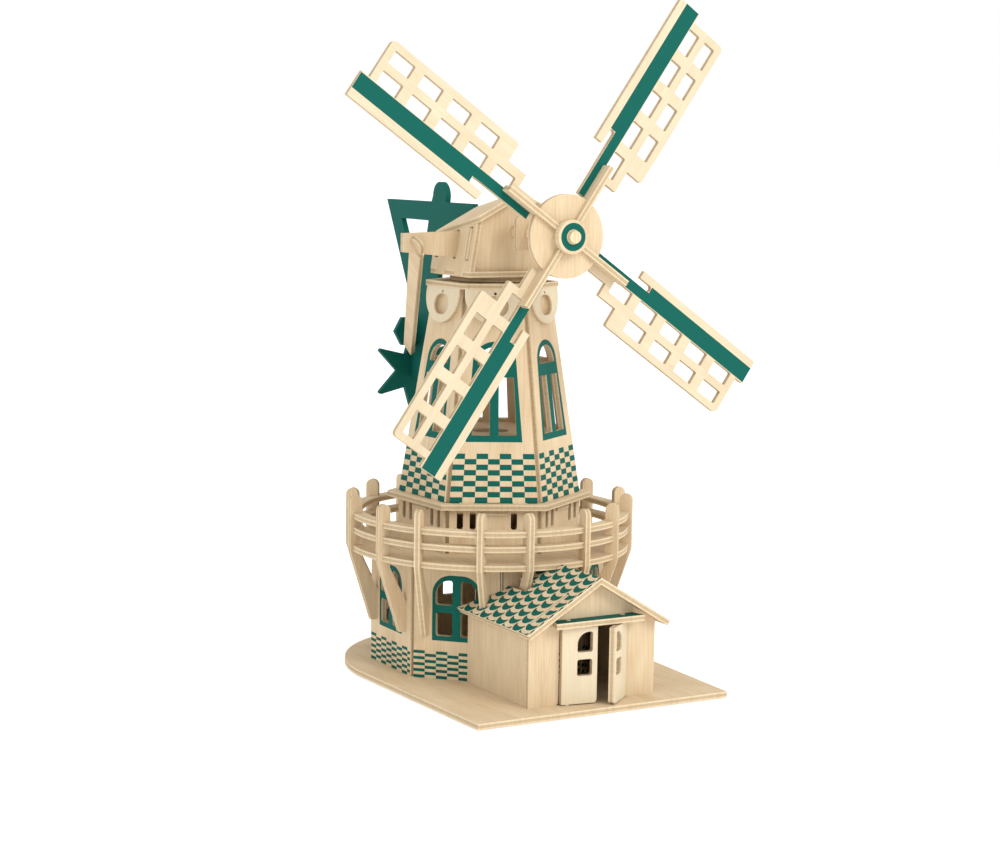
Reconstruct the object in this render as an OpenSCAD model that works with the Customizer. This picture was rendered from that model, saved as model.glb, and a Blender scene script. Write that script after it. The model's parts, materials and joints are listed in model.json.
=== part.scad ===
// Plywood tower windmill put together from one thickness of sheet.
// An eight-sided lower building carries a railed gallery, a six-sided drum, a balcony and
// a leaning six-sided tower. A cap with a tail turns on top and holds the axle of four
// slotted sails. A gabled entrance house with two hinged doors stands in front.
// Millimetres. The origin is on the tower axis at ground level, +Z is up and the entrance
// faces -Y.

/* [Sheet] */
// Thickness of every sheet
ply = 2.4; // [2:0.1:2.8]
// Clearance beside tabs and in slots
play = 0.05; // [0.03:0.01:0.08]

/* [Base] */
// Radius of the base under the tower
base_r = 61; // [59:0.5:66]
// Half width of the base at its front edge
base_front_half = 57.6; // [46:0.2:61]
// Distance from the tower axis to the front edge of the base
base_front = 97.3; // [94:0.1:106]

/* [Lower building] */
// Distance from the axis to the outer faces of the eight walls
wall_apothem = 46.5; // [44:0.5:48]
// Height of the underside of the gallery floor
gallery_z = 50.8; // [50.8:0.1:54]

/* [Gallery] */
// Radius of the floor and of both rails
gallery_r = 59.5; // [58.5:0.5:61]
// Width of each rail ring
rail_w = 5.2; // [4.8:0.1:7]
// Height of the lower rail above the gallery floor
mid_rail_rise = 5.3; // [4:0.1:5.6]
// Height of the upper rail above the gallery floor
top_rail_rise = 11.4; // [10:0.1:13]
// Sideways place of the two posts of each wall
post_side = 13.2; // [12:0.1:14]
// Width of a post
post_w = 5.4; // [5:0.1:6.4]

/* [Tower] */
// Turn of the six-sided tower on the eight-sided building
hex_turn = 4; // [0:1:8]
// Distance from the axis to the foot of the tower walls
tower_foot = 34; // [32:0.5:35]
// Distance from the axis to the top of the tower walls
tower_head = 21.9; // [21:0.1:23]
// Height of the balcony underside above the gallery floor
drum_h = 18.8; // [18:0.1:21]
// Height of the leaning tower walls
tower_h = 87.4; // [84:0.2:92]

/* [Cap] */
// Half width of the cap at its floor
cap_half = 22.6; // [22:0.1:24]
// Inward lean of the cap side walls in degrees
cap_lean = 9.3; // [7:0.1:10]
// Distance from the axis to the front edges of the side walls
cap_front_y = 21; // [20.5:0.1:23]
// Distance from the axis to the rear edges of the side walls
cap_rear_y = 13; // [13:0.1:15]
// Height of the front of the ridge above the cap floor
ridge_rise = 32.7; // [32:0.1:35]
// Height of the axle above the cap floor
axle_rise = 16.1; // [16:0.1:16.4]
// Half length of the cross beam
beam_half = 46; // [44:0.5:50]

/* [Sails] */
// Radius of a sail tip
sail_tip = 109; // [106:0.5:114]
// Resting turn of the first sail from upright
sail_rest = 34.84; // [0:0.01:90]
// Distance from the axis to the front of the sail sheets
sail_front = 57.2; // [55:0.1:60]

/* [House] */
// Half width of the house front
house_half = 29.2; // [28:0.1:29.6]
// Distance from the axis to the outer face of the house front
house_front_y = 86; // [84:0.1:88]
// Height of the house ridge
house_ridge = 53.2; // [53.2:0.1:55]
// Slope of the house roof in degrees
house_pitch = 31.33; // [30:0.1:33]
// Opening of the left door in degrees
left_door_open = 8; // [2:1:60]
// Opening of the right door in degrees
right_door_open = 40; // [2:1:60]

/* [Hidden] */
$fn = 48;
birch = [0.86, 0.76, 0.60];
green = [0.0, 0.39, 0.33];
over = 1;
eight = 8;
six = 6;
floor_top = gallery_z + ply;
wall_in = wall_apothem - ply;
tab_half = 5;
former_tab = 5.6;
hub_hole_r = 12;
post_out = gallery_r + 0.1;
post_in = post_out - post_w;
lap_u = gallery_r - 3.4;
post_head_r = post_w / 2;
post_top = floor_top + 21.2;
bracket_low = 20.5;
mid_rail_z = floor_top + mid_rail_rise;
top_rail_z = floor_top + top_rail_rise;
drum_in = tower_foot - ply;
balcony_z = floor_top + drum_h;
balcony_apothem = tower_foot + 3.6;
tower_z = balcony_z + ply;
tower_top_z = tower_z + tower_h;
lean = atan((tower_foot - tower_head) / tower_h);
slant = tower_h / cos(lean);
edge_drop = ply * tan(lean);
top_plate_r = 28;
pivot_r = 3;
turn_gap = 0.3;
turntable_z = tower_top_z + ply + turn_gap;
deck_z = turntable_z + ply;
deck_top = deck_z + ply;
axle_z = deck_top + axle_rise;
axle_r = 2.5;
ridge_z = deck_top + ridge_rise;
cap_pitch = 26.57;
cap_fall = 11.5;
roof_front_y = 22;
front_plate_y = 18.6;
rear_plate_y = -8.2;
tie_low = deck_top + 4.9;
tie_high = deck_top + 17.7;
tie_proud = 0.8;
lean_in = cap_half - ply / cos(cap_lean) - play;
beam_y = 7.5;
beam_low = deck_top + 5.1;
beam_high = deck_top + 16;
brace_lap = deck_top + 11.4;
brace_turn = 55.25;
brace_run = 50.4;
brace_len = 100;
collar_y = 66.6;
collar_low = 131;
collar_high = 143.4;
star_y = 71.4;
star_z = 119;
star_lap = 126;
hub_r = 16.8;
boss_r = 6.8;
arm_out = 33.5;
arm_front = sail_front + 5.4;
arm_back = sail_front - ply;
slot_in = 18;
slot_out = 26;
door_x = 12.6;
door_y = house_front_y + 1.5;
door_low = ply + 0.5;
door_high = 33.6;
door_edge = 15.3;
door_gap = 0.2;
door_pin_r = 1;
canopy_z = 34.2;
jamb_x = 15.5;
roof_reach = 38.6;
roof_eave_front = 91.5;
tenon_in = 13.5;
tenon_out = 33;
side_x = 29.4;

// Sheet parallel to the XZ plane with its outer face at y = -front
module sheet_xz(front, t = ply) {
    translate([0, t - front, 0]) rotate([90, 0, 0]) linear_extrude(t) children();
}

// Sheet parallel to the YZ plane from x = left, its outline drawn in y and z
module sheet_yz(left, t = ply) {
    translate([left, 0, 0]) rotate([90, 0, 90]) linear_extrude(t) children();
}

// Level sheet from z = low
module sheet_xy(low, t = ply) {
    translate([0, 0, low]) linear_extrude(t) children();
}

// Carries something drawn for the front wall to wall k of the eight
module on_eight(k) {
    rotate([0, 0, 360 / eight * k]) children();
}

// Carries something drawn for the front wall to wall k of the six
module on_six(k) {
    rotate([0, 0, hex_turn + 30 + 360 / six * k]) children();
}

// Eight-sided outline of a given half width
module octagon(apothem) {
    rotate(22.5) circle(apothem / cos(22.5), $fn = 8);
}

// Six-sided outline of a given half width, turned with the tower
module hexagon(apothem) {
    rotate(hex_turn + 30) circle(apothem / cos(30), $fn = 6);
}

// Rectangle from lo to hi; radii run lower left, lower right, upper right, upper left
module rounded(lo, hi, radii) {
    corners = [[lo[0], lo[1], 1, 1], [hi[0], lo[1], -1, 1],
               [hi[0], hi[1], -1, -1], [lo[0], hi[1], 1, -1]];
    difference() {
        translate(lo) square([hi[0] - lo[0], hi[1] - lo[1]]);
        for (i = [0:3]) if (radii[i] > 0)
            translate([corners[i][0], corners[i][1]])
                corner_waste(radii[i], corners[i][2], corners[i][3]);
    }
}

// What a rounded corner takes away; sx and sy point into the sheet
module corner_waste(r, sx, sy) {
    x0 = sx > 0 ? -over : -r;
    y0 = sy > 0 ? -over : -r;
    difference() {
        translate([x0, y0]) square(r + over);
        translate([sx * r, sy * r]) circle(r);
    }
}

// Level box given by its x, y and z ranges
module block(x, y, z) {
    translate([x[0], y[0], z[0]]) cube([x[1] - x[0], y[1] - y[0], z[1] - z[0]]);
}

// ---- lower building ----

module base_plate() color(birch) sheet_xy(0) difference() {
    union() {
        circle(base_r);
        polygon([[-base_front_half, -base_front], [base_front_half, -base_front],
                 [base_r, 0], [-base_r, 0]]);
    }
    for (k = [0:7]) rotate(45 * k) tab_slot(tab_half, wall_apothem);
    for (s = [-1, 1]) {
        translate([s * 22, 0]) tab_slot(3, house_front_y);
        translate([s * door_x, -door_y]) circle(door_pin_r + play);
        for (y = [-74, -56])
            translate([s > 0 ? side_x - ply - play : -side_x - play, y - 4 - play])
                square([ply + 2 * play, 8 + 2 * play]);
    }
}

// Slot for a tab of a given half width in a wall whose outer face is at front
module tab_slot(half, front) {
    translate([-half - play, -front - play]) square([2 * (half + play), ply + 2 * play]);
}

// One wall of the eight; only the walls away from the entrance have a window
module lower_wall(k, window = true) on_eight(k) sheet_xz(wall_apothem) difference() {
    half = wall_in * tan(22.5) - play / 2;
    union() {
        translate([-half, ply]) square([2 * half, gallery_z - ply]);
        translate([-tab_half, 0]) square([2 * tab_half, floor_top]);
    }
    if (window) lower_window();
}

// Four panes: two square ones below, two with a rounded outer corner above
module lower_window() {
    for (s = [0, 1]) mirror([s, 0]) {
        rounded([1.8, 20.5], [8.8, 30.3], [1, 1, 1, 1]);
        rounded([1.8, 33.5], [9, 43.8], [1, 1.2, 6, 1]);
    }
}

module lower_wall_1() color(birch) lower_wall(0, false);
module lower_wall_2() color(birch) lower_wall(1);
module lower_wall_3() color(birch) lower_wall(2);
module lower_wall_4() color(birch) lower_wall(3);
module lower_wall_5() color(birch) lower_wall(4);
module lower_wall_6() color(birch) lower_wall(5);
module lower_wall_7() color(birch) lower_wall(6);
module lower_wall_8() color(birch) lower_wall(7);

module lower_former() color(birch) sheet_xy(gallery_z - ply) difference() {
    octagon(wall_in - play);
    circle(hub_hole_r);
}

// ---- gallery ----

module gallery_floor() color(birch) sheet_xy(gallery_z) difference() {
    circle(gallery_r);
    circle(hub_hole_r);
    for (k = [0:7]) rotate(45 * k) tab_slot(tab_half, wall_apothem);
    for (k = [0:5]) rotate(hex_turn + 30 + 60 * k) tab_slot(4, tower_foot);
    post_notches();
}

// Notches open at the rim that the gallery posts are pushed into
module post_notches() {
    for (k = [0:7], s = [-1, 1]) rotate(45 * k)
        translate([s * post_side - ply / 2 - play, -gallery_r - 5])
            square([ply + 2 * play, gallery_r + 5 - lap_u]);
}

module rail(z) sheet_xy(z) difference() {
    circle(gallery_r);
    circle(gallery_r - rail_w);
    post_notches();
}

module mid_rail() color(birch) rail(mid_rail_z);

module top_rail() color(birch) rail(top_rail_z);

// Outline of a post with its bracket, drawn outwards from the axis; grow widens it
module post_outline(grow = 0) {
    foot = wall_apothem + play;
    head = post_top - post_head_r;
    polygon([[foot, bracket_low - grow], [foot + 3 + grow, bracket_low - grow],
             [post_out + grow, gallery_z], [post_out + grow, head], [post_in - grow, head],
             [post_in - grow, gallery_z - 2.8], [foot, bracket_low + 12.5 + grow]]);
    translate([(post_in + post_out) / 2, head]) circle(post_head_r + grow);
}

// One post of wall k on side s
module post(k, s, grow = 0) on_eight(k)
    translate([s * post_side, 0, 0]) sheet_yz(-ply / 2 - grow, ply + 2 * grow)
        mirror([1, 0]) children();

module gallery_posts() color(birch) for (k = [0:7], s = [-1, 1]) post(k, s) difference() {
    post_outline();
    for (z = [gallery_z, mid_rail_z, top_rail_z])
        translate([post_in - over, z - play]) square([lap_u - post_in + over, ply + 2 * play]);
}

// ---- drum and balcony ----

module drum_walls() color(birch) for (k = [0:5]) on_six(k) sheet_xz(tower_foot) difference() {
    half = drum_in * tan(30) - play / 2;
    union() {
        translate([-half, floor_top]) square([2 * half, drum_h]);
        translate([-4, gallery_z]) square([8, drum_h]);
    }
    translate([-former_tab - play, balcony_z - ply])
        square([2 * (former_tab + play), ply + over]);
    for (x = [-13.8, -8.5, 8.5, 13.8])
        rounded([x - 1.3, floor_top + 10.1], [x + 1.3, floor_top + 17.5], [1.2, 1.2, 0.9, 0.9]);
}

module drum_former() color(birch) sheet_xy(balcony_z - ply) difference() {
    union() {
        hexagon(drum_in - play);
        for (k = [0:5]) rotate(hex_turn + 30 + 60 * k)
            translate([-former_tab, -tower_foot - 1]) square([2 * former_tab, 8]);
    }
    circle(10);
}

module balcony_plate() color(birch) sheet_xy(balcony_z) difference() {
    hexagon(balcony_apothem);
    circle(10);
    for (k = [0:5], s = [-1, 1]) rotate(hex_turn + 30 + 60 * k)
        translate([s * 11 - 3 - play, -tower_foot - ply * tan(lean) - play])
            square([6 + 2 * play, ply / cos(lean) + ply * tan(lean) + 2 * play]);
}

// ---- tower ----

// Puts a sheet in the plane of leaning wall k, off millimetres outside its outer face
module tower_sheet(k, off = 0) {
    on_six(k) translate([0, -tower_foot, tower_z]) rotate([-lean, 0, 0])
        sheet_xz(off) children();
}

// Half width of a leaning wall at height v up its slope
function wall_half(v) = (tower_foot - v * sin(lean) - ply * cos(lean)) * tan(30) - play / 2;

module tower_wall(k) tower_sheet(k) difference() {
    union() {
        polygon([[-wall_half(edge_drop), edge_drop], [wall_half(edge_drop), edge_drop],
                 [wall_half(slant), slant], [-wall_half(slant), slant]]);
        for (s = [-1, 1]) translate([s * 11 - 3, edge_drop - ply / cos(lean)])
            square([6, ply + over]);
        translate([-tab_half, slant - over]) square([2 * tab_half, over + ply / cos(lean)]);
    }
    tower_window();
}

// Two tall panes below the transom and one round-headed light above it
module tower_window() {
    for (s = [0, 1]) mirror([s, 0])
        polygon([[1.8, 28], [9.3, 28], [8, 52], [1.8, 52]]);
    intersection() {
        translate([0, 57.5]) circle(7);
        translate([-8, 57]) square([16, 9]);
    }
}

module tower_wall_1() color(birch) tower_wall(0);
module tower_wall_2() color(birch) tower_wall(1);
module tower_wall_3() color(birch) tower_wall(2);
module tower_wall_4() color(birch) tower_wall(3);
module tower_wall_5() color(birch) tower_wall(4);
module tower_wall_6() color(birch) tower_wall(5);

module shield_plates() color(birch) for (k = [0:5]) tower_sheet(k, ply) difference() {
    half = (tower_foot - slant * sin(lean)) * tan(30) - 0.1;
    union() {
        translate([0, slant - 2.4]) circle(half);
        translate([-half, slant - 2.4]) square([2 * half, 4]);
    }
    translate([-half - over, slant - edge_drop]) square([2 * (half + over), 2 * half]);
    for (s = [-1, 1]) translate([s * 1.25, slant - 7.2]) circle(4.25);
    translate([-1.25, slant - 11.45]) square([2.5, 8.5]);
    translate([0, slant - 2]) circle(0.6);
}

// Half width inside the leaning walls at height z
function inside(z) = tower_foot - (z - tower_z) * tan(lean) - ply / cos(lean);

module tower_formers() color(birch) {
    sheet_xy(tower_z + 23.6) difference() {
        hexagon(inside(tower_z + 23.6 + ply) - play);
        circle(8);
    }
    sheet_xy(tower_z + 70.6) difference() {
        hexagon(inside(tower_z + 70.6 + ply) - play);
        circle(pivot_r + play);
    }
}

module tower_top_plate() color(birch) sheet_xy(tower_top_z) difference() {
    hexagon(top_plate_r * cos(30));
    circle(pivot_r + play);
    for (k = [0:5]) rotate(hex_turn + 30 + 60 * k)
        translate([-tab_half - play, -tower_head - play])
            square([2 * (tab_half + play), ply / cos(lean) + ply * tan(lean) + 2 * play]);
}

// ---- entrance house ----

// Puts something drawn level, with the ridge along Y at x = 0, on the slope of side s
module on_slope(s) {
    translate([0, 0, house_ridge]) rotate([0, s * house_pitch, 0]) children();
}

// All space above the underside of the roof slope of side s
module house_roof_space(s) {
    on_slope(s) block([-80, 80], [-110, 0], [-ply, 60]);
}

module house_front() color(birch) {
    difference() {
        sheet_xz(house_front_y) difference() {
            union() {
                translate([-house_half, ply]) square([2 * house_half, house_ridge]);
                for (s = [-1, 1]) translate([s * 22 - 3, 0]) square([6, ply + over]);
            }
            translate([-jamb_x, -over]) square([2 * jamb_x, canopy_z + over]);
            for (s = [0, 1]) mirror([s, 0]) {
                translate([jamb_x, ply]) corner_waste(1.5, 1, 1);
                translate([15.6 - play, canopy_z - play])
                    square([2.8 + 2 * play, ply + 2 * play]);
            }
        }
        for (s = [-1, 1]) house_roof_space(s);
    }
    for (s = [-1, 1]) on_slope(s)
        block(s > 0 ? [tenon_in, tenon_out] : [-tenon_out, -tenon_in],
              [-house_front_y, ply - house_front_y], [-ply - over / 2, 0]);
}

// Side wall s, cut against the eight-sided building and under the roof
module house_side(s) difference() {
    sheet_yz(s > 0 ? side_x - ply : -side_x) union() {
        translate([ply - house_front_y, ply]) square([house_front_y - ply - 20, 36]);
        for (y = [-74, -56]) translate([y - 4, 0]) square([8, ply + over]);
    }
    house_roof_space(s);
    sheet_xy(-over, 60) octagon(wall_apothem + play);
    post(s > 0 ? 1 : 7, -s, 0.4) post_outline(0.4);
}

module house_left() color(birch) house_side(-1);

module house_right() color(birch) house_side(1);

// Roof slope s, open round the gallery posts and clear of the gallery floor
module house_roof(s) difference() {
    on_slope(s) difference() {
        block(s > 0 ? [-2, roof_reach] : [-roof_reach, 2], [-roof_eave_front, -20], [-ply, 0]);
        block(s > 0 ? [tenon_in - play, tenon_out + play] : [-tenon_out - play, play - tenon_in],
              [-house_front_y - play, ply + play - house_front_y], [-ply - over, over]);
    }
    block(s > 0 ? [-20, play / 2] : [-play / 2, 20], [-110, 0], [0, 80]);
    sheet_xy(0, 60) octagon(wall_apothem + 0.3);
    sheet_xy(gallery_z - 0.5, 10) circle(gallery_r + 2);
    post(s > 0 ? 1 : 7, -s, 0.5) post_outline(0.5);
    block(s > 0 ? [post_side - 1.7, post_side + 3.3] : [-post_side - 3.3, 1.7 - post_side],
          [-post_out - 0.9, -40], [20, 80]);
}

module roof_left() color(birch) house_roof(-1);

module roof_right() color(birch) house_roof(1);

module canopy() color(green) sheet_xy(canopy_z) difference() {
    union() {
        polygon([[-20.3, -92], [20.3, -92], [18.5, -house_front_y], [-18.5, -house_front_y]]);
        for (s = [-1, 1]) translate([s * 17 - 1.4, -house_front_y - over])
            square([2.8, ply + over]);
    }
    for (s = [-1, 1]) translate([s * door_x, -door_y]) circle(door_pin_r + play);
}

// Left door leaf, closed, its pivot on the Z axis
module door_leaf() {
    sheet_xz(ply / 2) difference() {
        rounded([door_x - door_edge, door_low], [door_x - door_gap, door_high], [0, 1.5, 0, 0]);
        rounded([3.8, 14], [10.3, 20.7], [1, 1, 1, 1]);
        rounded([3.8, 23.5], [10.4, 31.7], [1, 1, 1, 5]);
    }
    translate([0, 0, 0.2]) cylinder(r = door_pin_r, h = canopy_z + ply);
}

module door_left() color(birch) translate([-door_x, -door_y, 0])
    rotate([0, 0, -left_door_open]) door_leaf();

module door_right() color(birch) translate([door_x, -door_y, 0])
    rotate([0, 0, right_door_open]) mirror([1, 0, 0]) door_leaf();

// ---- cap ----

module cap_pivot() color(birch)
    translate([0, 0, tower_z + 68.6]) cylinder(r = pivot_r, h = deck_top - tower_z - 68.6);

module cap_turntable() color(birch) sheet_xy(turntable_z) difference() {
    circle(18);
    circle(pivot_r + play);
}

module cap_floor() color(birch) sheet_xy(deck_z) difference() {
    translate([-cap_half, -cap_front_y]) square([2 * cap_half, cap_front_y + cap_rear_y]);
    circle(pivot_r + play);
    for (s = [0, 1]) mirror([s, 0]) {
        for (y = [-12, 4]) translate([lean_in, y - 4 - play])
            square([10, 8 + 2 * play]);
        translate([4.5 - play, -1.2 - play]) square([3 + 2 * play, ply + 2 * play]);
    }
    tab_slot(tab_half, front_plate_y);
    tab_slot(tab_half, rear_plate_y);
}

// Puts something drawn level, with the ridge along Y at x = 0, on cap roof slope s
module on_cap_slope(s) {
    translate([0, -roof_front_y, ridge_z]) rotate([-cap_fall, 0, 0])
        rotate([0, s * cap_pitch, 0]) children();
}

// All space above the underside of cap roof slope s
module cap_roof_space(s) {
    on_cap_slope(s) block([-60, 60], [-20, 70], [-ply, 60]);
}

// Place of the outer face of a cap side wall at height z
function cap_face(z) = cap_half - (z - deck_top) * tan(cap_lean);

// Plate across the cap, tied to the side walls by a tall tab on each side
module cap_plate(front) difference() {
    sheet_xz(front) difference() {
        union() {
            for (s = [0, 1]) mirror([s, 0]) {
                polygon([[-over, deck_top], [lean_in, deck_top],
                         [lean_in - 30 * tan(cap_lean), deck_top + 30], [-over, deck_top + 30]]);
                polygon([[0, tie_low], [cap_face(tie_low) + tie_proud, tie_low],
                         [cap_face(tie_high) + tie_proud, tie_high], [0, tie_high]]);
            }
            translate([-tab_half, deck_z]) square([2 * tab_half, ply + over]);
        }
        children();
    }
    for (s = [-1, 1]) cap_roof_space(s);
}

module cap_front() color(birch) cap_plate(front_plate_y)
    translate([0, axle_z]) circle(axle_r + play);

module cap_rear() color(birch) cap_plate(rear_plate_y)
    for (z = [deck_top + 5, deck_top + 15])
        translate([-ply / 2 - play, z - play]) square([ply + 2 * play, 5 + 2 * play]);

// Side wall on the +X side, its slots open for the beam and the two plates
module cap_side() difference() {
    margin = 0.45;
    translate([cap_half, 0, deck_top]) rotate([0, -cap_lean, 0]) sheet_yz(-ply) difference() {
        translate([-cap_front_y, -6]) square([cap_front_y + cap_rear_y, 34]);
        for (y = [-front_plate_y, -rear_plate_y])
            translate([y - play, (tie_low - deck_top) / cos(cap_lean) - margin])
                square([ply + 2 * play, (tie_high - tie_low) / cos(cap_lean) + 2 * margin]);
        translate([-beam_y - play, (beam_low - deck_top) / cos(cap_lean) - margin])
            square([ply + 2 * play, (beam_high - beam_low) / cos(cap_lean) + 2 * margin]);
    }
    difference() {
        block([0, 60], [-60, 60], [deck_top - 12, deck_top]);
        for (y = [-12, 4]) block([0, 60], [y - 4, y + 4], [deck_z, deck_top + over]);
    }
    cap_roof_space(1);
}

module cap_side_left() color(birch) mirror([1, 0, 0]) cap_side();

module cap_side_right() color(birch) cap_side();

module cap_roof(s) difference() {
    on_cap_slope(s) block(s > 0 ? [-2, 23] : [-23, 2], [0, 37.5], [-ply, 0]);
    block(s > 0 ? [-20, play / 2] : [-play / 2, 20], [-60, 60], [deck_top, ridge_z + 20]);
}

module cap_roof_left() color(birch) cap_roof(-1);

module cap_roof_right() color(birch) cap_roof(1);

module axle_bearing() color(birch) sheet_xz(ply / 2) difference() {
    union() {
        translate([-7, deck_top]) square([14, axle_rise]);
        translate([0, axle_z]) circle(7);
        for (s = [-1, 1]) translate([s * 6 - 1.5, deck_z]) square([3, ply + over]);
    }
    translate([0, axle_z]) circle(axle_r + play);
}

module cross_beam() color(birch) difference() {
    sheet_xz(beam_y) difference() {
        polygon([[-beam_half, beam_low + 2.5], [-20, beam_low], [20, beam_low],
                 [beam_half, beam_low + 2.5], [beam_half, beam_high - 0.7],
                 [20, beam_high], [-20, beam_high], [-beam_half, beam_high - 0.7]]);
        translate([-4, axle_z - 4.2]) square([8, 10]);
    }
    for (s = [0, 1]) mirror([s, 0, 0]) intersection() {
        brace_blank(play);
        block([20, 60], [-20, 20], [brace_lap, brace_lap + 20]);
    }
}

// Brace on the +X side before it is notched over the beam
module brace_blank(grow = 0) {
    translate([40, -6, brace_lap - 0.7]) rotate([0, 180 - brace_turn, 0])
        translate([0, 0, -ply / 2 - grow]) linear_extrude(ply + 2 * grow)
            rotate(brace_run) union() {
                polygon([[-2, -4.5 - grow], [brace_len, -3.4], [brace_len, 1.4],
                         [-2, 1.9 + grow]]);
                translate([-2, -1.3]) circle(3.2 + grow);
            }
}

module tail_braces() color(birch) for (s = [0, 1]) mirror([s, 0, 0]) difference() {
    brace_blank();
    block([0, 60], [-beam_y - play, ply + play - beam_y], [beam_low - 10, brace_lap]);
    block([-30, 60], [collar_y, collar_y + 40], [90, 200]);
}

module tail_plate() color(green) sheet_yz(-ply / 2) difference() {
    union() {
        polygon([[10.6, 172], [44.9, 172], [46.3, 166], [57.4, 120], [58.4, 116], [72.9, 116],
                 [73.2, 150], [76.7, 157.1], [97.6, 195.2], [15.5, 195.6], [15.5, 190],
                 [10.6, 190]]);
        polygon([[40.1, 198.1], [40.6, 195], [54, 195], [52.5, 198.1]]);
        translate([46.3, 198.1]) circle(6.15);
        for (z = [deck_top + 5, deck_top + 15]) translate([8.2, z]) square([3, 5]);
    }
    polygon([[56.5, 187], [82.9, 187], [66.5, 157], [64.3, 157]]);
    translate([65.4, 157]) circle(1.1);
    translate([collar_y - play, collar_low - play])
        square([ply + 2 * play, collar_high - collar_low + 2 * play]);
    translate([star_y - play, star_lap]) square([10, 13]);
}

module tail_collar() color(green) sheet_xz(-collar_y) {
    middle = (collar_low + collar_high) / 2;
    polygon([[-12, middle], [-8.5, collar_high], [8.5, collar_high], [12, middle],
             [8.5, collar_low], [-8.5, collar_low]]);
}

module capstan_star() color(green) sheet_xz(-star_y) difference() {
    translate([0, star_z]) {
        circle(8);
        for (a = [30:60:330]) rotate(a) {
            polygon([[0, -4.5], [6.75, -4.5], [18.7, -0.9], [18.7, 0.9], [6.75, 4.5], [0, 4.5]]);
            translate([18.7, 0]) circle(0.9);
        }
    }
    translate([-ply / 2 - play, 116 - play]) square([ply + 2 * play, star_lap - 116 + play]);
}

// ---- sails ----

// Carries something drawn with the axle on the Y axis through the origin to the axle
module at_axle(turn = 0) {
    translate([0, 0, axle_z]) rotate([0, turn, 0]) children();
}

module axle() color(birch) at_axle()
    translate([0, 6, 0]) rotate([90, 0, 0]) cylinder(r = axle_r, h = sail_front + 15.8);

module axle_stop() color(birch) at_axle() sheet_xz(-ply / 2 - 0.3) difference() {
    circle(5);
    circle(axle_r + play);
}

module axle_collar() color(birch) at_axle() sheet_xz(31.4) difference() {
    rounded([-6.5, -7], [6.5, 7], [2, 2, 2, 2]);
    circle(axle_r + play);
}

module hub_disc() color(birch) at_axle(sail_rest) sheet_xz(sail_front + 3.2) difference() {
    circle(hub_r);
    circle(axle_r + play);
    for (a = [0:90:270]) rotate(a)
        translate([-ply / 2 - play, boss_r + play]) square([ply + 2 * play, hub_r]);
}

module hub_boss() color(green) at_axle() sheet_xz(sail_front + 8, 2 * ply) difference() {
    circle(boss_r);
    circle(axle_r + play);
}

module sail_arms() color(birch) for (a = [0:90:270]) at_axle(sail_rest + a) difference() {
    block([-ply / 2, ply / 2], [-arm_front, -arm_back], [boss_r + 0.1, arm_out]);
    block([-ply, ply], [-sail_front, 0], [slot_out - play, arm_out + over]);
}

// One sail sheet: x runs across the sail, y runs out from the axle
module sail(turn) at_axle(sail_rest + turn) sheet_xz(sail_front) difference() {
    tip = sail_tip;
    polygon([[-4.2, slot_in], [4.2, slot_in], [4.2, 28], [9.8, 28], [9.8, 37.8], [18, 37.8],
             [18, tip - 4], [0.5, tip - 4], [0.5, tip], [-10.3, tip], [-10.3, 40.5],
             [-4.2, 40.5]]);
    translate([-ply / 2 - play, slot_in - over]) square([ply + 2 * play, slot_out - slot_in + over]);
    translate([-7, 40.5 - over]) square([2.8, 5.6 + over]);
    translate([-5.6, 46.1]) circle(1.4);
    for (r = [31, 46, 61.3, 76.5, 91.5]) {
        rounded([0.2, r], [6.1, r + 10.4], [0.6, 0.6, 0.6, 0.6]);
        if (r > 40) rounded([9.3, r], [15.1, r + 10.4], [0.6, 0.6, 0.6, 0.6]);
    }
    translate([18, tip - 4]) corner_waste(2, -1, -1);
    translate([18, 37.8]) corner_waste(1, -1, 1);
}

module sail_1() color(green) sail(0);
module sail_2() color(green) sail(90);
module sail_3() color(green) sail(180);
module sail_4() color(green) sail(270);

base_plate();
lower_wall_1();
lower_wall_2();
lower_wall_3();
lower_wall_4();
lower_wall_5();
lower_wall_6();
lower_wall_7();
lower_wall_8();
lower_former();
gallery_floor();
mid_rail();
top_rail();
gallery_posts();
drum_walls();
drum_former();
balcony_plate();
tower_wall_1();
tower_wall_2();
tower_wall_3();
tower_wall_4();
tower_wall_5();
tower_wall_6();
shield_plates();
tower_formers();
tower_top_plate();
house_front();
house_left();
house_right();
roof_left();
roof_right();
canopy();
door_left();
door_right();
cap_pivot();
cap_turntable();
cap_floor();
cap_front();
cap_rear();
cap_side_left();
cap_side_right();
cap_roof_left();
cap_roof_right();
axle_bearing();
cross_beam();
tail_braces();
tail_plate();
tail_collar();
capstan_star();
axle();
axle_stop();
axle_collar();
hub_disc();
hub_boss();
sail_arms();
sail_1();
sail_2();
sail_3();
sail_4();
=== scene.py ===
import json
import math

import bmesh
import bpy
from mathutils import Matrix, Vector


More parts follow.
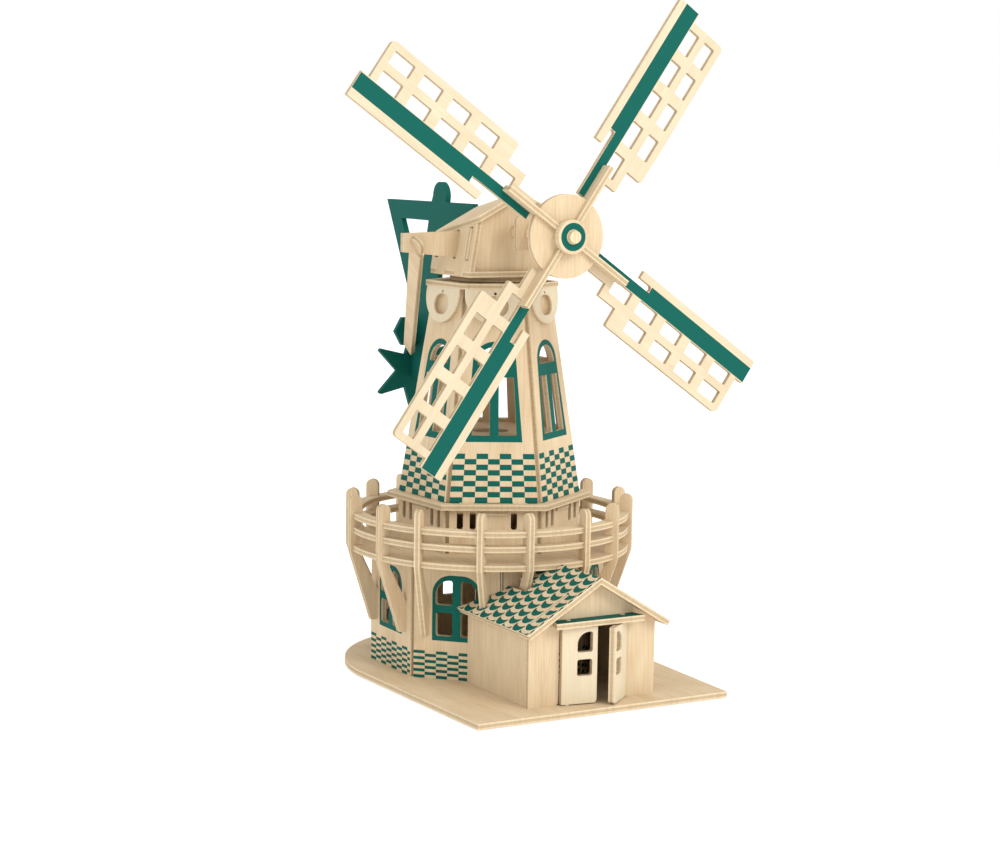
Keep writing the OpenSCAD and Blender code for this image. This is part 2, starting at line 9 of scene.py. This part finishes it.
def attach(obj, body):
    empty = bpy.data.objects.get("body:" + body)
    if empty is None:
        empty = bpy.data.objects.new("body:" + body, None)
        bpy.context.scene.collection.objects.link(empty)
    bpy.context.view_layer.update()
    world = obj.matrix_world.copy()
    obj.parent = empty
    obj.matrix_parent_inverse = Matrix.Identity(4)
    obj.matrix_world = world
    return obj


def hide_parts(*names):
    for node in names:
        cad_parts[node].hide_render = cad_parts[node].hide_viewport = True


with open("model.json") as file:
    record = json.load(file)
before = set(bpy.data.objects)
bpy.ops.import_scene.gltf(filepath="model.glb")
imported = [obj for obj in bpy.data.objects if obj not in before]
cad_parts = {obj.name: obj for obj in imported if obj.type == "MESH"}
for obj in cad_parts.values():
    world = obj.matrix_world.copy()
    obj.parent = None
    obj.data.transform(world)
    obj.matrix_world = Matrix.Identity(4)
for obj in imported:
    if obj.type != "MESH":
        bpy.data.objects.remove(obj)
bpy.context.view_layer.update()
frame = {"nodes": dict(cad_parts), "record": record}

# Sizes of the sheets and of the whole, in millimetres and degrees
MM = 0.001
PLY = 2.4
HEX_TURN = 4.0
AXLE_Z = 185.4
SAIL_REST = 34.84
RIDGE_Z = 53.2
HOUSE_PITCH = 31.33
TOWER_FOOT = 34.0
TOWER_HEAD = 21.9
TOWER_HEIGHT = 87.4
TOWER_Z = 74.4
TOWER_LEAN = math.degrees(math.atan((TOWER_FOOT - TOWER_HEAD) / TOWER_HEIGHT))

# Brick chequer of the lower walls
BRICK_WIDE = 4.85
BRICK_HIGH = 1.28
BRICK_EDGE = 18.24
BRICK_TOP = 13.92

# Chequer of the leaning walls, measured from their foot
TOWER_ROW = 2.25
TOWER_CHEQUER_LOW = 0.3
TOWER_CHEQUER_TOP = 20.55
TOWER_COLUMNS_A_SIDE = 3.5
TOWER_NARROWING = -0.0791

# The arches begin where the surrounds end, so the surrounds run a hair past that line
HAIR = 0.001

# Crescents of the house roof
CRESCENT_WIDE = 6.6
CRESCENT_ROW = 5.0

# Viewing angle: turn, tilt and roll in degrees, then the place in metres
CAMERA_ANGLES = (-29.44, 7.478, 0.878)
CAMERA_PLACE = (-0.458, -0.820, 0.2251)
CAMERA_LENS = 80.2
SENSOR_WIDTH = 36

WALLS = ["lower_wall_%d" % i for i in range(1, 9)]
TOWER = ["tower_wall_%d" % i for i in range(1, 7)]
SAILS = ["sail_%d" % i for i in range(1, 5)]
DOWELS = ["cap_pivot", "axle"]


# ---- camera, light and floor ----

def add_camera():
    """The viewing angle of the object: in front, to its left and a little above."""
    yaw, pitch, roll = (math.radians(a) for a in CAMERA_ANGLES)
    back = Vector((math.sin(yaw) * math.cos(pitch), -math.cos(yaw) * math.cos(pitch),
                   math.sin(pitch)))
    right = Vector((math.cos(yaw), math.sin(yaw), 0))
    up = right.cross(-back)
    tilted_right = right * math.cos(roll) + up * math.sin(roll)
    tilted_up = up * math.cos(roll) - right * math.sin(roll)
    data = bpy.data.cameras.new("camera")
    data.sensor_width = SENSOR_WIDTH
    data.lens = CAMERA_LENS
    data.clip_end = 50
    cam = bpy.data.objects.new("camera", data)
    bpy.context.collection.objects.link(cam)
    turn = Matrix((tilted_right, tilted_up, back)).transposed().to_4x4()
    cam.matrix_world = Matrix.Translation(Vector(CAMERA_PLACE)) @ turn
    bpy.context.scene.camera = cam


def add_light(name, at, target, size, power, colour=(1, 1, 1)):
    data = bpy.data.lights.new(name, "AREA")
    data.shape = "SQUARE"
    data.size = size
    data.energy = power
    data.color = colour
    lamp = bpy.data.objects.new(name, data)
    bpy.context.collection.objects.link(lamp)
    lamp.location = at
    lamp.rotation_euler = (Vector(target) - Vector(at)).to_track_quat("-Z", "Y").to_euler()


def add_studio():
    scene = bpy.context.scene
    scene.view_settings.view_transform = "Standard"
    world = bpy.data.worlds.new("studio")
    scene.world = world
    world.use_nodes = True
    sky = world.node_tree.nodes["Background"]
    sky.inputs["Color"].default_value = (1, 1, 1, 1)
    sky.inputs["Strength"].default_value = 1.0
    add_light("key", (0.35, -1.5, 1.15), (0, -0.02, 0.12), 0.8, 15, (1, 0.97, 0.93))
    add_light("fill", (-1.5, -0.9, 0.9), (0, 0, 0.1), 1.4, 2, (0.96, 0.98, 1))
    bpy.ops.mesh.primitive_plane_add(size=30, location=(0, 0, -0.0004))
    floor = bpy.context.object
    floor.name = "floor"
    material = bpy.data.materials.new("floor")
    material.use_nodes = True
    shader = material.node_tree.nodes["Principled BSDF"]
    shader.inputs["Base Color"].default_value = (0.93, 0.93, 0.93, 1)
    shader.inputs["Roughness"].default_value = 0.9
    shader.inputs["Emission Color"].default_value = (1, 1, 1, 1)
    shader.inputs["Emission Strength"].default_value = 0.3
    floor.data.materials.append(material)


# ---- shader arithmetic ----

class Field:
    """A number that varies over a surface, built up with ordinary arithmetic."""

    def __init__(self, tree, socket):
        self.tree = tree
        self.socket = socket

    def op(self, name, *others):
        node = self.tree.nodes.new("ShaderNodeMath")
        node.operation = name
        for slot, value in enumerate((self,) + others):
            if isinstance(value, Field):
                self.tree.links.new(value.socket, node.inputs[slot])
            else:
                node.inputs[slot].default_value = value
        return Field(self.tree, node.outputs[0])

    def __add__(self, other):
        return self.op("ADD", other)

    def __sub__(self, other):
        return self.op("SUBTRACT", other)

    def __mul__(self, other):
        return self.op("MULTIPLY", other)

    def __truediv__(self, other):
        return self.op("DIVIDE", other)

    def __lt__(self, other):
        return self.op("LESS_THAN", other)

    def __gt__(self, other):
        return self.op("GREATER_THAN", other)

    def __abs__(self):
        return self.op("ABSOLUTE")

    def at_least(self, other):
        return self.op("MAXIMUM", other)

    def either(self, other):
        """1 where this mask or the other is 1."""
        return self.at_least(other)

    def floor(self):
        return self.op("FLOOR")

    def wrap(self, period):
        """What is left after whole periods, never negative."""
        return self.op("FLOORED_MODULO", period)

    def flip(self):
        """1 minus this."""
        return self * -1 + 1

    def between(self, low, high):
        return (self > low) * (self < high)


class Surface:
    """A material under construction: its fields, colours and shader."""

    def __init__(self, name):
        self.material = bpy.data.materials.new(name)
        self.material.use_nodes = True
        self.tree = self.material.node_tree
        self.shader = self.tree.nodes["Principled BSDF"]

    def attribute(self, name):
        node = self.tree.nodes.new("ShaderNodeAttribute")
        node.attribute_name = name
        return node

    def field(self, socket):
        return Field(self.tree, socket)

    def place(self):
        """Place on the sheet in millimetres: across, along the grain, and through."""
        split = self.tree.nodes.new("ShaderNodeSeparateXYZ")
        self.tree.links.new(self.attribute("sheet_place").outputs["Vector"], split.inputs[0])
        return [self.field(socket) for socket in split.outputs]

    def noise(self, fields, scale, detail=3.0, rough=0.5):
        """Noise of about 0 to 1 over the three given fields."""
        join = self.tree.nodes.new("ShaderNodeCombineXYZ")
        for slot, value in enumerate(fields):
            if isinstance(value, Field):
                self.tree.links.new(value.socket, join.inputs[slot])
            else:
                join.inputs[slot].default_value = value
        node = self.tree.nodes.new("ShaderNodeTexNoise")
        node.inputs["Scale"].default_value = scale
        node.inputs["Detail"].default_value = detail
        node.inputs["Roughness"].default_value = rough
        self.tree.links.new(join.outputs[0], node.inputs["Vector"])
        return self.field(node.outputs["Fac"])

    def ramp(self, field, stops):
        """Colour by a field, from (position, colour) stops."""
        node = self.tree.nodes.new("ShaderNodeValToRGB")
        ramp = node.color_ramp
        while len(ramp.elements) < len(stops):
            ramp.elements.new(0.5)
        for element, (position, colour) in zip(ramp.elements, stops):
            element.position = position
            element.color = tuple(colour) + (1,)
        self.tree.links.new(field.socket, node.inputs["Fac"])
        return node.outputs["Color"]

    def mix(self, field, below, above, blend="MIX"):
        """Colour below where field is 0 and above where it is 1."""
        node = self.tree.nodes.new("ShaderNodeMix")
        node.data_type = "RGBA"
        node.blend_type = blend
        if isinstance(field, Field):
            self.tree.links.new(field.socket, node.inputs[0])
        else:
            node.inputs[0].default_value = field
        for slot, colour in ((6, below), (7, above)):
            if isinstance(colour, tuple):
                node.inputs[slot].default_value = colour + (1,)
            else:
                self.tree.links.new(colour, node.inputs[slot])
        return node.outputs[2]

    def finish(self, colour, roughness, height, depth):
        self.tree.links.new(colour, self.shader.inputs["Base Color"])
        if isinstance(roughness, Field):
            self.tree.links.new(roughness.socket, self.shader.inputs["Roughness"])
        else:
            self.shader.inputs["Roughness"].default_value = roughness
        self.shader.inputs["Specular IOR Level"].default_value = 0.15
        bump = self.tree.nodes.new("ShaderNodeBump")
        bump.inputs["Strength"].default_value = 0.5
        bump.inputs["Distance"].default_value = depth
        self.tree.links.new(height.socket, bump.inputs["Height"])
        self.tree.links.new(bump.outputs["Normal"], self.shader.inputs["Normal"])
        return self.material


def srgb(r, g, b):
    """Linear colour of an sRGB colour given in 0 to 255."""
    def part(c):
        c /= 255
        return c / 12.92 if c <= 0.04045 else ((c + 0.055) / 1.055) ** 2.4
    return (part(r), part(g), part(b))


# ---- prints: each gives 1 where the sheet is green ----

def plain_wall_print(u, v):
    """Brick chequer at the foot of a wall."""
    row = ((v - PLY) / BRICK_HIGH).floor()
    column = ((u + BRICK_EDGE) / BRICK_WIDE).floor()
    return ((row + column).wrap(2) < 1) * (v < BRICK_TOP)


def wall_print(u, v):
    """Brick chequer at the foot and a round-topped surround behind the window."""
    bricks = plain_wall_print(u, v)
    side = (abs(u) - 2.4).at_least(0)
    arch = ((side * side + (v - 38) * (v - 38)) < 64) * (v > 38)
    surround = (abs(u) < 10.4) * v.between(18.5, 38 + HAIR)
    return bricks.either(arch).either(surround)


def tower_print(u, v):
    """The same on a leaning wall, the chequer narrowing with the wall."""
    v = v - TOWER_V0
    half = v * TOWER_NARROWING + BRICK_EDGE
    row = ((v - TOWER_CHEQUER_LOW) / TOWER_ROW).floor()
    column = (u / half * TOWER_COLUMNS_A_SIDE + TOWER_COLUMNS_A_SIDE).floor()
    bricks = (row + column).wrap(2) < 1
    bricks = bricks * v.between(TOWER_CHEQUER_LOW, TOWER_CHEQUER_TOP)
    top = v - 57.7
    arch = ((u * u + top * top) < 81) * (v > 57.7)
    surround = (abs(u) < (v - 25.3) * -0.0833 + 11.7) * v.between(25.3, 57.7 + HAIR)
    return bricks.either(arch).either(surround)


def sail_print(u, v):
    """A narrow green stock near the axle that widens into a band to the tip."""
    stock = u.between(-4.3, 0) * (v < 47.5)
    band = u.between(-7, 0) * (v > 47.499)
    return stock.either(band)


def roof_print(u, v):
    """Rows of green crescents, every other column half a row lower; v runs up the slope."""
    along = (u * -1 + 2.0) / CRESCENT_WIDE
    column = along.floor()
    x = (along - column - 0.5) * CRESCENT_WIDE
    down = v * -1 + 1.2 - column.wrap(2) * (CRESCENT_ROW / 2)
    t = down.wrap(CRESCENT_ROW)
    outer = (x * x / 10.9 + (t - 1.6) * (t - 1.6) / 11.6) < 1
    inner = (x * x / 12.2 + (t + 0.9) * (t + 0.9) / 9.0) < 1
    return outer * inner.flip() * (t > 1.0)


def boss_print(u, v):
    """A green ring round the axle hole, the disc cream outside it."""
    out = u * u + v * v
    return out.between(9.0, 31.4)


def all_green(u, v):
    """1 everywhere."""
    return (u * 0) > -1


GREEN = srgb(0, 88, 78)


def ply_material(name, printed=None, dyed=False, pale=0.0):
    """Birch plywood: grain on the faces, stacked veneers on the cut edges, green ink.

    The ink is on the outer face only, or all the way through when dyed.
    """
    s = Surface(name)
    u, v, w = s.place()
    side = s.field(s.attribute("sheet_side").outputs["Fac"])
    seed = s.field(s.attribute("sheet_seed").outputs["Fac"])
    rim = abs(side) < 0.5
    streak = s.noise((u * 1.6, v * 0.06, seed), 1.0, 4.0, 0.6)
    cloud = s.noise((u * 0.12, v * 0.035, seed + 7), 1.0, 2.0)
    fibre = s.noise((u * 9.0, v * 0.5, seed), 1.0, 2.0)
    tone = streak * 0.55 + cloud * 0.45
    face = s.ramp(tone, [(0.28, srgb(190, 164, 130)), (0.5, srgb(208, 187, 154)),
                         (0.72, srgb(220, 203, 173))])
    face = s.mix(fibre * 0.16, face, srgb(176, 146, 108), "MIX")
    if pale:
        face = s.mix(pale, face, srgb(214, 208, 186))
    through = w / PLY + (s.noise((u * 0.5, v * 0.5, w * 0.5 + seed), 1.0, 2.0) - 0.5) * 0.04
    veneers = s.ramp(through, [(0.0, srgb(214, 196, 164)), (0.27, srgb(206, 186, 153)),
                               (0.34, srgb(166, 144, 112)), (0.42, srgb(188, 167, 135)),
                               (0.60, srgb(184, 163, 131)), (0.66, srgb(166, 144, 112)),
                               (0.73, srgb(208, 189, 156)), (1.0, srgb(216, 199, 168))])
    char = s.noise((u * 0.9, v * 0.9, seed + 3), 1.0, 3.0)
    edge = s.mix((char - 0.45).at_least(0) * 0.8, veneers, srgb(140, 114, 86))
    colour = s.mix(rim, face, edge)
    rough = streak * 0.18 + 0.58
    if printed:
        mask = printed(u, v)
        if not dyed:
            mask = mask * (side > 0.5)
        worn = s.noise((u * 0.8, v * 0.2, seed + 11), 1.0, 3.0)
        ink = s.mix(worn * 0.22, GREEN, srgb(0, 72, 64))
        ink = s.mix(streak * 0.03, ink, srgb(60, 130, 110))
        colour = s.mix(mask, colour, ink)
    return s.finish(colour, rough, streak * 0.5 + fibre * 0.5, 0.00012)


def dowel_material(name):
    """Turned birch: straight fine grain along the rod."""
    s = Surface(name)
    u, v, w = s.place()
    streak = s.noise((u * 1.8, v * 0.07, w * 1.8), 1.0, 4.0, 0.6)
    fibre = s.noise((u * 8.0, v * 0.4, w * 8.0), 1.0, 2.0)
    face = s.ramp(streak, [(0.3, srgb(200, 172, 132)), (0.6, srgb(231, 209, 174))])
    colour = s.mix(fibre * 0.2, face, srgb(176, 146, 108))
    return s.finish(colour, streak * 0.15 + 0.6, fibre, 0.0001)


# ---- sheet frames: which way a sheet faces and which way its grain runs ----

def turn_z(vector, degrees):
    return Matrix.Rotation(math.radians(degrees), 3, "Z") @ vector


def lean_frame(degrees, lean):
    """Frame of a wall turned about the tower axis: across, up the wall, outwards."""
    tilt = Matrix.Rotation(math.radians(-lean), 3, "X")
    axes = (Vector((1, 0, 0)), tilt @ Vector((0, 0, 1)), tilt @ Vector((0, -1, 0)))
    return [turn_z(a, degrees) for a in axes]


def sail_frame(turn):
    spin = Matrix.Rotation(math.radians(SAIL_REST + turn), 3, "Y")
    return [spin @ Vector((1, 0, 0)), spin @ Vector((0, 0, 1)), Vector((0, -1, 0))]


def roof_frame(side):
    tilt = Matrix.Rotation(math.radians(side * HOUSE_PITCH), 3, "Y")
    up_slope = tilt @ Vector((-side, 0, 0))
    return [Vector((0, 1, 0)), up_slope, tilt @ Vector((0, 0, 1))]


FRAMES = {}
for index, wall in enumerate(WALLS):
    FRAMES[wall] = ((0, 0, 0), lean_frame(45 * index, 0))
for index, wall in enumerate(TOWER):
    FRAMES[wall] = ((0, 0, 0), lean_frame(HEX_TURN + 30 + 60 * index, TOWER_LEAN))
for index, blade in enumerate(SAILS):
    FRAMES[blade] = ((0, 0, AXLE_Z), sail_frame(90 * index))
FRAMES["roof_left"] = ((0, 0, RIDGE_Z), roof_frame(-1))
FRAMES["roof_right"] = ((0, 0, RIDGE_Z), roof_frame(1))
FRAMES["hub_boss"] = ((0, 0, AXLE_Z), sail_frame(0))

foot_axes = lean_frame(0, TOWER_LEAN)
TOWER_V0 = foot_axes[1].dot(Vector((0, -TOWER_FOOT, TOWER_Z)))


def guess_frame(faces):
    """Axes of a loose sheet from its faces: its normal is the way most of it faces."""
    best, best_area = Vector((0, 0, 1)), -1.0
    for candidate in faces[:400]:
        n = candidate.normal
        area = sum(f.calc_area() for f in faces if abs(f.normal.dot(n)) > 0.999)
        if area > best_area * 1.0001:
            best, best_area = n.copy(), area
    if abs(best.z) > 0.7:
        best *= 1 if best.z > 0 else -1
        along = Vector((0, 1, 0))
    else:
        middle = sum((f.calc_center_median() for f in faces), Vector()) / len(faces)
        outwards = Vector((middle.x, middle.y, 0)) + Vector((0, -0.0001, 0))
        best *= 1 if best.dot(outwards) > 0 else -1
        along = Vector((0, 0, 1))
    along = (along - best * along.dot(best)).normalized()
    return [along.cross(best), along, best]


def loose_parts(bm):
    """Lists of faces, one for each separate solid of a mesh."""
    left = set(bm.faces)
    parts = []
    while left:
        start = min(left, key=lambda f: f.index)
        part, stack = [], [start]
        left.discard(start)
        while stack:
            face = stack.pop()
            part.append(face)
            for edge in face.edges:
                for other in edge.link_faces:
                    if other in left:
                        left.discard(other)
                        stack.append(other)
        parts.append(part)
    return parts


def finish_node(node, material):
    """A finished piece for a CAD node: its sheets, with their place and faces marked."""
    cad = frame["nodes"][node]
    mesh = cad.data.copy()
    mesh.name = node + "_sheet"
    bm = bmesh.new()
    bm.from_mesh(mesh)
    bmesh.ops.remove_doubles(bm, verts=bm.verts, dist=1e-7)
    bm.normal_update()
    bm.faces.index_update()
    place = bm.verts.layers.float_vector.new("sheet_place")
    side = bm.faces.layers.float.new("sheet_side")
    seed = bm.faces.layers.float.new("sheet_seed")
    for number, part in enumerate(loose_parts(bm)):
        if node in FRAMES:
            origin, axes = FRAMES[node]
        else:
            origin, axes = (0, 0, 0), guess_frame(part)
        origin = Vector(origin) * MM
        verts = {v for f in part for v in f.verts}
        low = min((v.co - origin).dot(axes[2]) for v in verts)
        for v in verts:
            local = v.co - origin
            v[place] = Vector((local.dot(axes[0]), local.dot(axes[1]),
                               local.dot(axes[2]) - low)) / MM
        for f in part:
            facing = f.normal.dot(axes[2])
            f[side] = round(facing) if abs(facing) > 0.7 else 0
            f[seed] = (len(node) * 13 + number * 37 + sum(map(ord, node)) * 7) % 101
    bm.to_mesh(mesh)
    bm.free()
    mesh.materials.clear()
    mesh.materials.append(material)
    for polygon in mesh.polygons:
        polygon.material_index = 0
        polygon.use_smooth = False
    piece = bpy.data.objects.new(node + "_finished", mesh)
    bpy.context.collection.objects.link(piece)
    body = next(b for b, nodes in BODIES.items() if node in nodes)
    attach(piece, body)
    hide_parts(node)
    return piece


RECORD = frame["record"]
BODIES = RECORD["behaviour"]["bodies"]

add_camera()
add_studio()

PLAIN = ply_material("birch_ply")
PALE = ply_material("birch_ply_pale", pale=0.45)
DOWEL = dowel_material("birch_dowel")
FINISH = {
    "lower_wall_1": ply_material("brick_wall_ply", plain_wall_print),
    "roof_left": ply_material("scalloped_roof_ply", roof_print),
    "canopy": ply_material("green_topped_ply", all_green),
    "shield_plates": PALE,
    "door_left": PALE,
    "door_right": PALE,
}
window_ply = ply_material("window_wall_ply", wall_print)
tower_ply = ply_material("tower_wall_ply", tower_print)
sail_ply = ply_material("sail_ply", sail_print, pale=0.3)
green_ply = ply_material("green_ply", all_green, dyed=True)
for wall in WALLS[1:]:
    FINISH[wall] = window_ply
for wall in TOWER:
    FINISH[wall] = tower_ply
for blade in SAILS:
    FINISH[blade] = sail_ply
FINISH["hub_boss"] = ply_material("ringed_ply", boss_print)
for part in ("tail_plate", "tail_collar", "capstan_star"):
    FINISH[part] = green_ply
for part in DOWELS:
    FINISH[part] = DOWEL

for node in sorted(frame["nodes"]):
    finish_node(node, FINISH.get(node, PLAIN))
